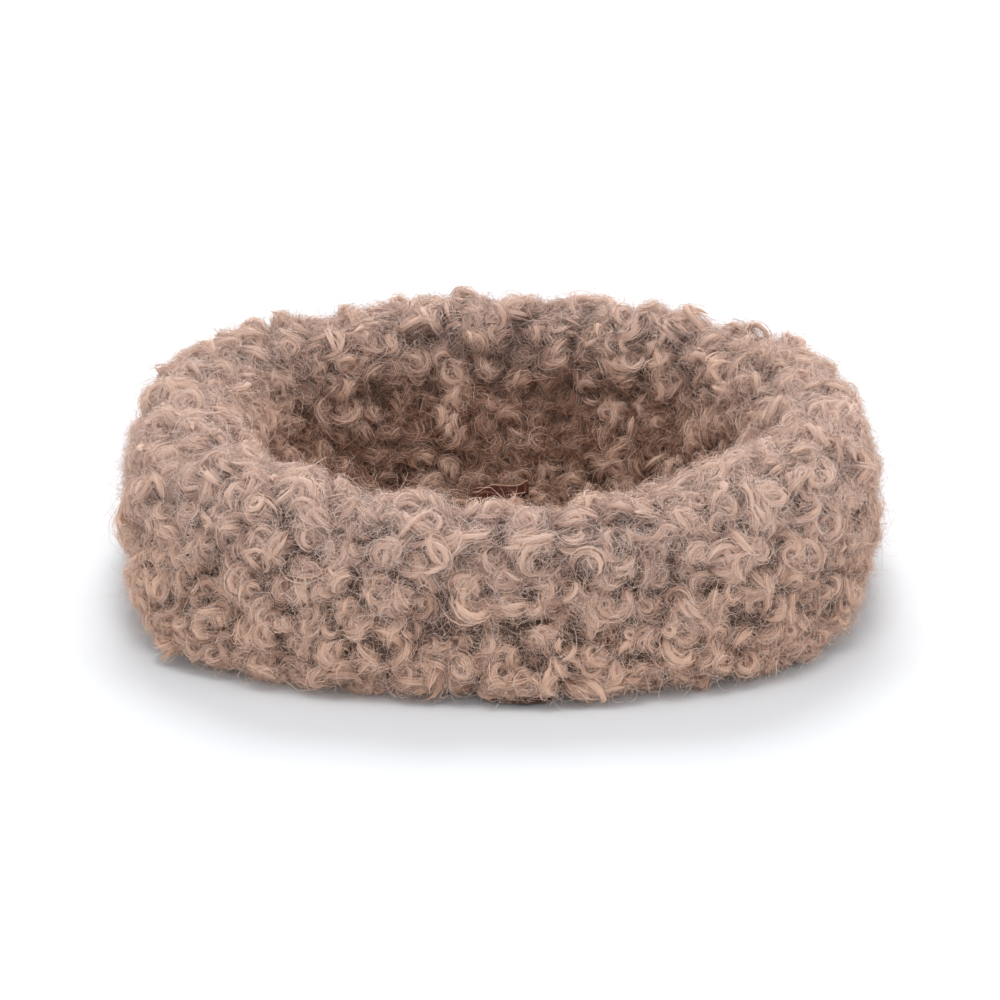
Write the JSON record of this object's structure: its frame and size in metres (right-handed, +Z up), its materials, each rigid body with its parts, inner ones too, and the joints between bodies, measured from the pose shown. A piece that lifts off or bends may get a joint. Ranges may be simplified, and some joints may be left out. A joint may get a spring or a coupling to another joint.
{
  "type": "pet cushion bed",
  "caption": "Low nest-shaped pet bed: a thick stuffed wall of curly fleece round a padded floor, on a flat cloth underside.",
  "frame": {"origin": "the middle of the underside, on the surface the bed stands on", "axes": "+Z up out of the nest, front towards -Y, +X to the right seen from the front"},
  "size_m": [0.26, 0.26, 0.064],
  "materials": {
    "outer_fleece": "matte taupe curly faux fleece",
    "inner_fleece": "matte taupe curly faux fleece",
    "floor_fleece": "matte taupe curly faux fleece",
    "base_cloth": "matte dark brown suede cloth",
    "tag": "glossy dark chestnut satin ribbon",
    "filling": "matte white fibre",
    "thread": "matte taupe thread"
  },
  "bodies": {
    "root": {"outer_wall_cover": "outer_fleece", "inner_wall_cover": "inner_fleece", "floor_cover": "floor_fleece", "underside_cover": "base_cloth", "wall_filling": "filling", "floor_filling": "filling", "tag": "tag", "rim_seam": "thread", "floor_seam": "thread", "base_seam": "thread", "wall_join_seam": "thread", "inner_join_seam": "thread", "filling_gap_seam": "thread"}
  },
  "joints": []
}
